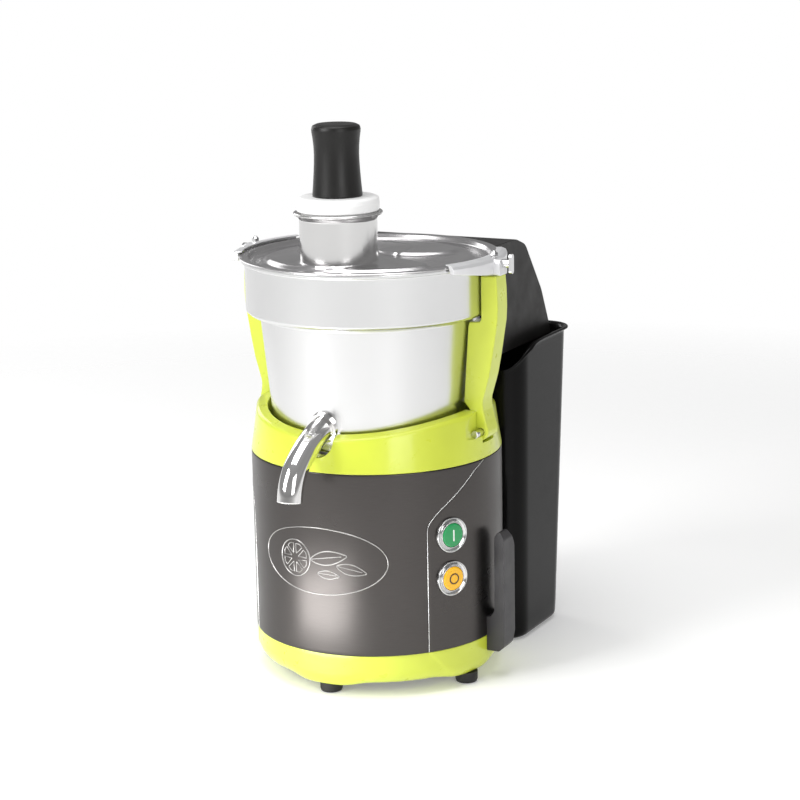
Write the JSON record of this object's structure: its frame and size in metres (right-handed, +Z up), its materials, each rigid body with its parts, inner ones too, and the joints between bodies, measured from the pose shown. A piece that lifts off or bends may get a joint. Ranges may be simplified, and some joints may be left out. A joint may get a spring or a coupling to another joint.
{
  "type": "centrifugal juicer",
  "caption": "Centrifugal juicer with a round motor base, a lift-off bowl with spout, clamped lid with feed tube and pusher, and a rear pulp container.",
  "frame": {"origin": "on the table, at the centre of the whole machine's footprint; the bowl and motor axis is 35 mm in front of it", "axes": "+Z up, -Y towards the juice spout, +Y towards the pulp container, +X towards the start and stop buttons"},
  "size_m": [0.329, 0.4695, 0.61],
  "materials": {
    "lime_paint": "smooth satin yellow-green enamel",
    "brushed_wrap": "vertical-lit brushed stainless sheet",
    "polished_steel": "polished stainless steel",
    "satin_steel": "satin stainless steel",
    "cast_alu": "fine cast aluminium",
    "matte_dark": "fine-textured dark plastic",
    "gloss_black": "glossy black plastic",
    "side_grey": "satin dark grey plastic",
    "white_plastic": "satin white plastic",
    "handle_black": "black plastic grip",
    "foot_rubber": "black rubber",
    "green_cap": "gloss green",
    "amber_cap": "gloss amber",
    "copper": "varnished copper wire",
    "iron_core": "laminated iron",
    "device_plastic": "moulded electrical plastic"
  },
  "bodies": {
    "base": {"base_ring": "lime_paint", "bottom_plate": "satin_steel", "feet": "foot_rubber", "foot_screws": "polished_steel", "front_shell": "brushed_wrap", "rear_shell": "brushed_wrap", "front_emblem": "satin_steel", "rear_cover": "brushed_wrap", "cover_screws": "polished_steel", "top_housing": "lime_paint", "motor_deck": "cast_alu", "shaft_seal": "foot_rubber", "arm_pins": "polished_steel", "bowl": "polished_steel", "spout": "polished_steel", "spout_ring": "polished_steel", "chute": "matte_dark", "motor_housing": "cast_alu", "stator_core": "iron_core", "stator_windings": "copper", "lower_end_shield": "cast_alu", "upper_end_shield": "cast_alu", "lower_bearing": "polished_steel", "upper_bearing": "polished_steel", "motor_pillars": "cast_alu", "capacitor": "cast_alu", "brake_module": "device_plastic", "terminal_block": "device_plastic", "wire_harness": "device_plastic", "cable_gland": "device_plastic", "safety_switch": "device_plastic", "start_bezel": "polished_steel", "stop_bezel": "polished_steel", "start_contact": "device_plastic", "stop_contact": "device_plastic", "side_hook": "side_grey"},
    "rotor": {"motor_shaft": "satin_steel", "rotor_core": "iron_core", "cooling_fan": "device_plastic", "drive_hub": "satin_steel", "basket": "satin_steel", "grating_disc": "satin_steel", "disc_nut": "satin_steel"},
    "right_arm": {"arm_right": "lime_paint", "jaw_right": "cast_alu", "clamp_bolt_right": "polished_steel", "cap_nut_right": "polished_steel"},
    "left_arm": {"arm_left": "lime_paint", "jaw_left": "cast_alu", "clamp_bolt_left": "polished_steel", "cap_nut_left": "polished_steel"},
    "lid_set": {"lid": "satin_steel", "feed_tube": "polished_steel"},
    "pusher": {"pusher_body": "white_plastic", "pusher_handle": "handle_black", "pusher_screw": "polished_steel"},
    "container": {"pulp_container": "gloss_black"},
    "start_button": {"start_cap": "green_cap"},
    "stop_button": {"stop_cap": "amber_cap"}
  },
  "joints": [
    {"name": "rotor_spin", "type": "hinge", "parent": "base", "child": "rotor", "pos_m": [0, -0.035, 0.28], "axis": [0, 0, 1], "continuous": true},
    {"name": "right_arm_swing", "type": "hinge", "parent": "base", "child": "right_arm", "pos_m": [0.134, -0.029, 0.277], "axis": [0, 1, 0], "range_deg": [0, 60]},
    {"name": "left_arm_swing", "type": "hinge", "parent": "base", "child": "left_arm", "pos_m": [-0.134, -0.029, 0.277], "axis": [0, -1, 0], "range_deg": [0, 60]},
    {"name": "lid_lift", "type": "slide", "parent": "base", "child": "lid_set", "axis": [0, 0, 1], "range_m": [0, 0.03]},
    {"name": "pusher_lift", "type": "slide", "parent": "lid_set", "child": "pusher", "axis": [0, 0, 1], "range_m": [0, 0.085]},
    {"name": "container_slide", "type": "slide", "parent": "base", "child": "container", "axis": [0, 1, 0], "range_m": [0, 0.2]},
    {"name": "start_press", "type": "slide", "parent": "base", "child": "start_button", "axis": [-0.8829, 0.4695, 0], "range_m": [0, 0.004], "stiffness_N_per_m": 500, "springref_m": -0.001},
    {"name": "stop_press", "type": "slide", "parent": "base", "child": "stop_button", "axis": [-0.8829, 0.4695, 0], "range_m": [0, 0.004], "stiffness_N_per_m": 500, "springref_m": -0.001}
  ],
  "couplings": [
    {"joint": "left_arm_swing", "follows": "right_arm_swing", "ratio": 1},
    {"joint": "lid_lift", "follows": "right_arm_swing", "m_per_rad": 0.028648}
  ]
}
